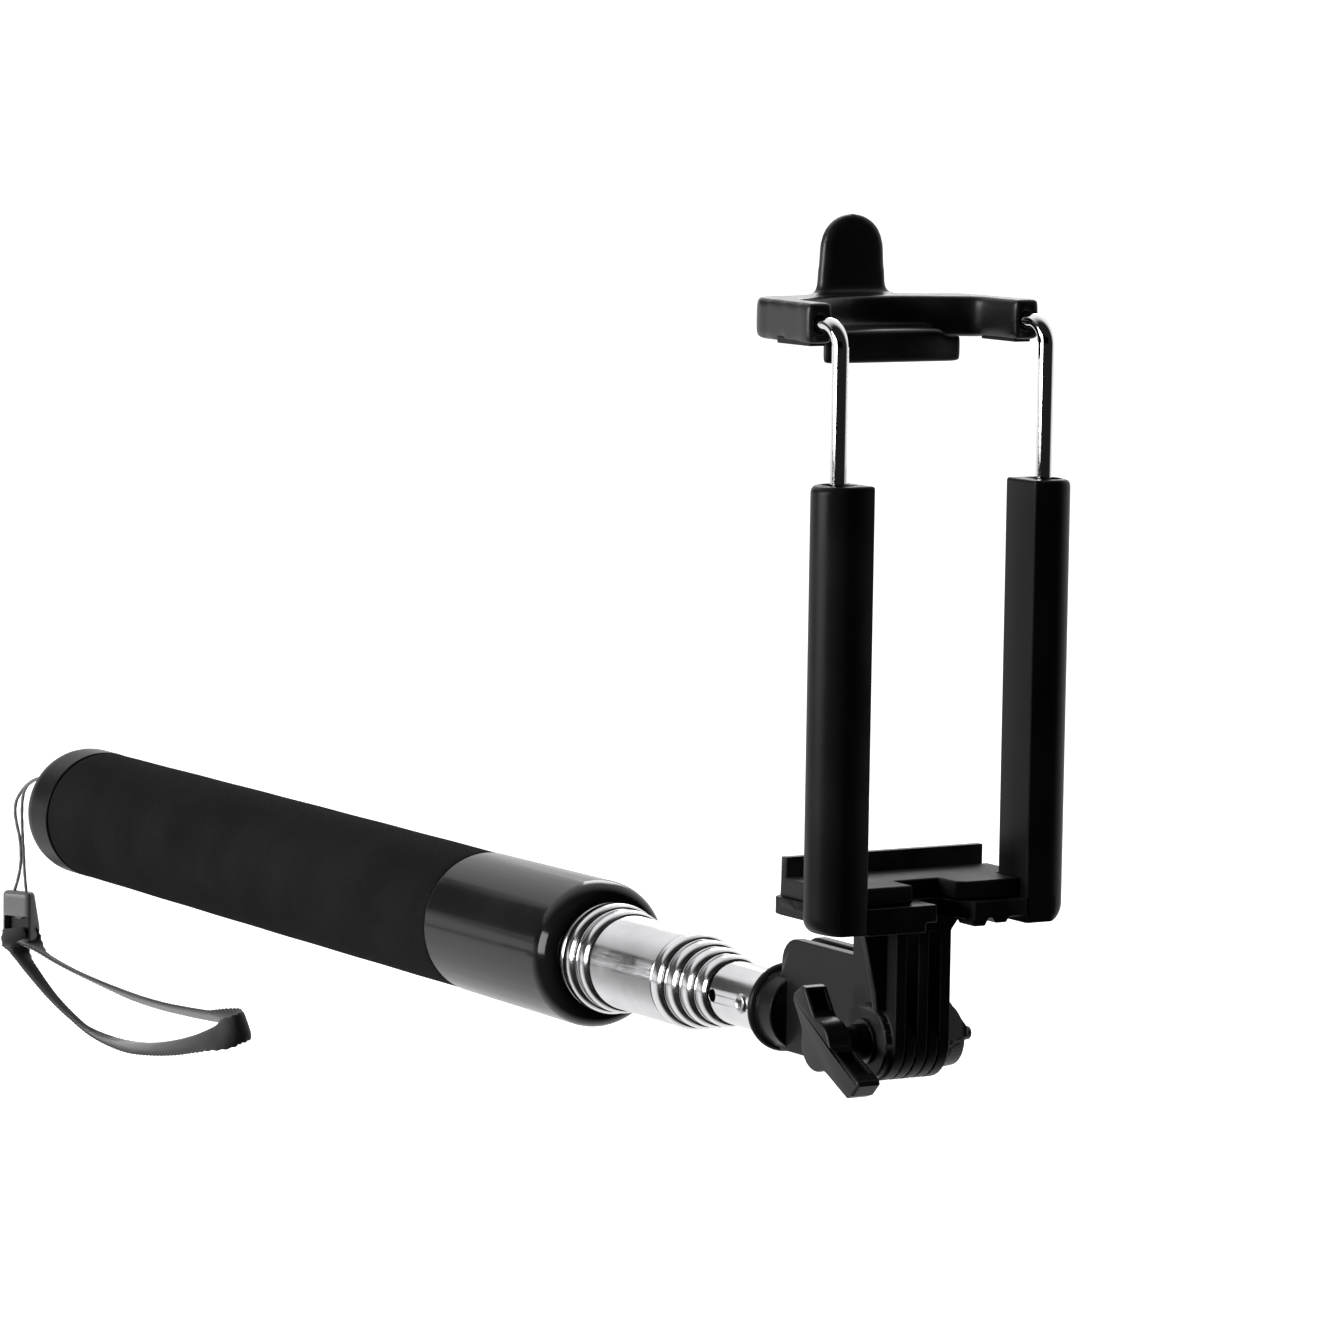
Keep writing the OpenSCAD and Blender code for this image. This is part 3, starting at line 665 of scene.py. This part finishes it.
def make_post(node, guide, side):
    """A post: round outside, flat inside, with a rounded foot and head and the bore for its rod."""
    low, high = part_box(node)
    centre = (low + high) / 2
    half = (high.x - low.x) / 2
    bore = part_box(guide)[1].x - centre.x
    bore_bottom = low.z + 2 * MM
    corner, edge, foot, head = 0.45 * MM, 0.45 * MM, 2.5 * MM, 1.2 * MM
    chamfer = 0.25 * MM
    foot_steps, head_steps = 10, 6

    def outline(reach):
        outer = [(half * c, reach * s) for c, s in arc(0, 0, 1, 0, 180, 32)]
        inner = arc(-half + corner, -half + corner, corner, 180, 270, 5)
        inner += arc(half - corner, -half + corner, corner, 270, 360, 5)
        return [Vector(p) for p in outer[:-1] + inner[:-1]]

    def reach_at(from_end, radius):
        left = max(0.0, 1 - from_end / radius)
        return half - radius * (1 - math.sqrt(1 - left * left))

    def ring(points, z):
        return [Vector((centre.x + p.x, centre.y + side * p.y, z)) for p in points]

    shrinks = dict(edge_steps(edge))
    foot_heights = set(shrinks) | {foot * (i / foot_steps) ** 2 for i in range(1, foot_steps + 1)}
    rings = []
    for d in sorted(foot_heights):
        rings.append(ring(inset(outline(reach_at(d, foot)), shrinks.get(d, 0)), low.z + d))
    head_heights = {head * i / head_steps for i in range(1, head_steps + 1)}
    for d in sorted(set(shrinks) | {d for d in head_heights if d > edge}, reverse=True):
        rings.append(ring(inset(outline(reach_at(d, head)), shrinks.get(d, 0)), high.z - d))
    for radius, z in ((bore + chamfer, high.z), (bore, high.z - chamfer), (bore, bore_bottom)):
        rings.append(ring(circle_like(outline(half), radius), z))
    obj = loft(node + "_shape", rings)
    obj.data.set_sharp_from_angle(angle=math.radians(60))
    place_piece(obj, "black_plastic", BODY_OF[node], node)


make_post("left_post", "left_rod_guide", -1)
make_post("right_post", "right_rod_guide", 1)


# Length, direction above +X in degrees, flank with the pocket, and slant of the tip, of each wing.
KNOB_WINGS = ((12.8 * MM, -26, 1, 1.4 * MM), (9.2 * MM, 124, -1, 0))
KNOB_WING_HALF = 2.0 * MM
KNOB_HUB = 3.9 * MM
KNOB_PLATE = 4.0 * MM


def wing_reach(toward, length, slant):
    """How far a wing along +X goes from the axis in the direction toward."""
    half, chamfer = KNOB_WING_HALF, 0.7 * MM
    tip = Vector((2 * half, -slant))
    sides = [
        (Vector((0, 1)), half),
        (Vector((0, -1)), half),
        (tip, tip.dot(Vector((length, half)))),
        (Vector((1, 1)), length + half - chamfer),
        (Vector((1, -1)), length - slant + half - chamfer),
    ]
    level = 1e-6
    return min(far / facing.dot(toward) for facing, far in sides if facing.dot(toward) > level)


def knob_outline(pocket=0.0):
    """The S-shaped outline of the hub and both wings; pocket is how deep the flanks' hollows are."""
    points, blend = 720, 9
    pocket_start, pocket_frame = 4.6 * MM, 1.4 * MM
    flank_skin = 0.02 * MM
    outline = []
    for i in range(points):
        angle = TURN * i / points
        reach, hollow = KNOB_HUB, Vector((0, 0))
        for length, direction, flank, slant in KNOB_WINGS:
            off = angle - math.radians(direction)
            toward = Vector((math.cos(off), math.sin(off)))
            if toward.x <= 0:
                continue
            wing = wing_reach(toward, length, slant)
            on_flank = wing * toward.y * flank > KNOB_WING_HALF - flank_skin
            if on_flank and pocket_start < wing * toward.x < length - slant - pocket_frame:
                turned = math.radians(direction + 90)
                hollow = Vector((math.cos(turned), math.sin(turned))) * (-flank * pocket)
            reach = (reach ** blend + wing ** blend) ** (1 / blend)
        outline.append(Vector((math.cos(angle), math.sin(angle))) * reach + hollow)
    return outline


def make_knob():
    """The wing knob: a thick S-shaped plate with a hollow in each wing's flank, on a stepped stem."""
    low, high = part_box("wing_knob")
    bolt_low, bolt_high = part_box("hinge_bolt")
    centre = (bolt_low + bolt_high) / 2
    edge, frame_width, depth, slope = 0.4 * MM, 0.55 * MM, 0.9 * MM, 0.15 * MM
    face, back = low.y, low.y + KNOB_PLATE
    full, hollow = knob_outline(), knob_outline(pocket=depth)
    stem, collar, step, fillet = 2.4 * MM, 2.7 * MM, -8.2 * MM, 0.3 * MM
    layers = [(inset(full, s), face + d) for d, s in edge_steps(edge)]
    layers += [(full, face + frame_width), (hollow, face + frame_width + slope)]
    layers += [(hollow, back - frame_width - slope), (full, back - frame_width)]
    layers += [(inset(full, s), back - d) for d, s in edge_steps(edge)[::-1]]
    stem_profile = [
        (stem + fillet, back), (stem, back + fillet), (stem, step - slope),
        (collar, step), (collar, high.y - slope), (collar - slope, high.y),
    ]
    layers += [(circle_like(full, radius), y) for radius, y in stem_profile]
    obj = loft("wing_knob_shape", [
        [Vector((centre.x + p.x, y, centre.z + p.y)) for p in outline] for outline, y in layers
    ])
    obj.data.set_sharp_from_angle(angle=math.radians(50))
    place_piece(obj, "knob_plastic", BODY_OF["wing_knob"], "wing_knob")


make_knob()


def make_upper_jaw():
    """The soft upper jaw, with the full, rounded edges of moulded rubber."""
    obj = object_from("upper_jaw_rubber", cad_copy("upper_jaw"))
    remesh = obj.modifiers.new("remesh", "REMESH")
    remesh.mode = "VOXEL"
    remesh.voxel_size = 0.4 * MM
    remesh.use_smooth_shade = True
    relax = obj.modifiers.new("relax", "SMOOTH")
    relax.factor = 0.6
    relax.iterations = 36
    place_piece(obj, "soft_jaw", BODY_OF["upper_jaw"], "upper_jaw")


make_upper_jaw()


# ---- Parts inside, and finishes for the CAD nodes that stay ----

INSIDE = {
    "core_metal": ["grip_core"],
    "plain_steel": ["anchor_pin", "left_rod_stop", "right_rod_stop", "left_spring", "right_spring"],
    "nylon_ring": [f"tube_{n}_ring" for n in range(2, TUBE_COUNT + 1)],
    "black_plastic": ["left_rod_guide", "right_rod_guide"],
}
for slot, names in INSIDE.items():
    for name in names:
        mesh = frame["nodes"][name].data
        mesh.materials.clear()
        mesh.materials.append(FINISH[slot])


# ---- Stage and light ----

FLOOR_Z = -0.25
STAGE_CENTRE = Vector((0.05, 0, 0))


def stage_finish(name, glow):
    """A plain pale finish that glows, so that it is equally white everywhere."""
    made = bpy.data.materials.new(name)
    made.use_nodes = True
    shader = made.node_tree.nodes["Principled BSDF"]
    shader.inputs["Base Color"].default_value = grey(0.8)
    shader.inputs["Roughness"].default_value = 0.9
    shader.inputs["Emission Color"].default_value = (1, 1, 1, 1)
    shader.inputs["Emission Strength"].default_value = glow
    return made


def add_stage(name, bm, glow):
    """A stage piece that the camera sees and that neither lights nor shades the object."""
    obj = object_from(name, bm)
    obj.data.materials.append(stage_finish(name, glow))
    for kind in ("visible_diffuse", "visible_glossy", "visible_transmission", "visible_shadow"):
        setattr(obj, kind, False)


def make_stage():
    floor_radius, backdrop_radius = 3.5, 6
    bm = bmesh.new()
    bmesh.ops.create_circle(bm, cap_ends=True, segments=96, radius=floor_radius)
    bmesh.ops.translate(bm, verts=bm.verts, vec=(STAGE_CENTRE.x, STAGE_CENTRE.y, FLOOR_Z))
    add_stage("floor", bm, 0.9)
    bm = bmesh.new()
    bmesh.ops.create_icosphere(bm, subdivisions=5, radius=backdrop_radius)
    add_stage("backdrop", bm, 1.1)


def make_world():
    """Soft studio surroundings: bright behind the object, dim by the camera, a dark panel to one side and
    a thin dark line below level."""
    dimmest, brightest = 0.015, 1.0
    panel_height, panel_darkness = (0.16, 0.43, 0.49), 0.92
    line_height, line_glow = -0.1, 0.15
    world = bpy.data.worlds.new("studio")
    world.use_nodes = True
    bpy.context.scene.world = world
    tree = world.node_tree
    place = add_node(tree, "ShaderNodeTexCoord").outputs["Generated"]
    axes = add_node(tree, "ShaderNodeSeparateXYZ", {0: place})
    side, height = axes.outputs["Y"], axes.outputs["Z"]
    away = (-math.sin(VIEW_AZIMUTH), math.cos(VIEW_AZIMUTH), 0)
    behind = add_node(tree, "ShaderNodeVectorMath", {0: place, 1: away}, operation="DOT_PRODUCT")
    glow = ramp(tree, behind.outputs["Value"], -0.2, 0.45, dimmest, brightest)
    above = ramp(tree, height, 0.0, panel_height[0])
    below_top = ramp(tree, height, panel_height[1], panel_height[2], 1.0, 0.0)
    to_side = ramp(tree, side, -0.2, 0.1, 1.0, 0.0)
    panel = maths(tree, "MULTIPLY", maths(tree, "MULTIPLY", above, below_top), to_side)
    shade = maths(tree, "SUBTRACT", 1.0, maths(tree, "MULTIPLY", panel, panel_darkness))
    glow = maths(tree, "MULTIPLY", glow, shade)
    from_line = maths(tree, "ABSOLUTE", maths(tree, "SUBTRACT", height, line_height))
    glow = maths(tree, "MULTIPLY", glow, ramp(tree, from_line, 0.008, 0.02, line_glow, 1.0))
    background = tree.nodes["Background"]
    tree.links.new(glow, background.inputs["Strength"])
    background.inputs["Color"].default_value = (1, 1, 1, 1)


def area_light(name, place, size, power, glossy=True):
    """A lamp turned to the stage's centre; without glossy it lights the object but isn't mirrored in it."""
    data = bpy.data.lights.new(name, "AREA")
    data.shape = "RECTANGLE"
    data.size, data.size_y = size
    data.energy = power
    lamp = bpy.data.objects.new(name, data)
    lamp.location = place
    lamp.rotation_mode = "QUATERNION"
    lamp.rotation_quaternion = (Vector(place) - STAGE_CENTRE).to_track_quat("Z", "Y")
    lamp.visible_glossy = glossy
    bpy.context.collection.objects.link(lamp)


make_stage()
make_world()
area_light("key", (-0.1, -1.7, 0.35), (1.2, 0.8), 26)
area_light("rim", (-1.2, 1.0, 1.0), (0.8, 0.8), 8)
area_light("soft", (0.2, -1.9, 0.2), (0.5, 0.3), 70, glossy=False)
bpy.context.scene.view_settings.view_transform = "Standard"
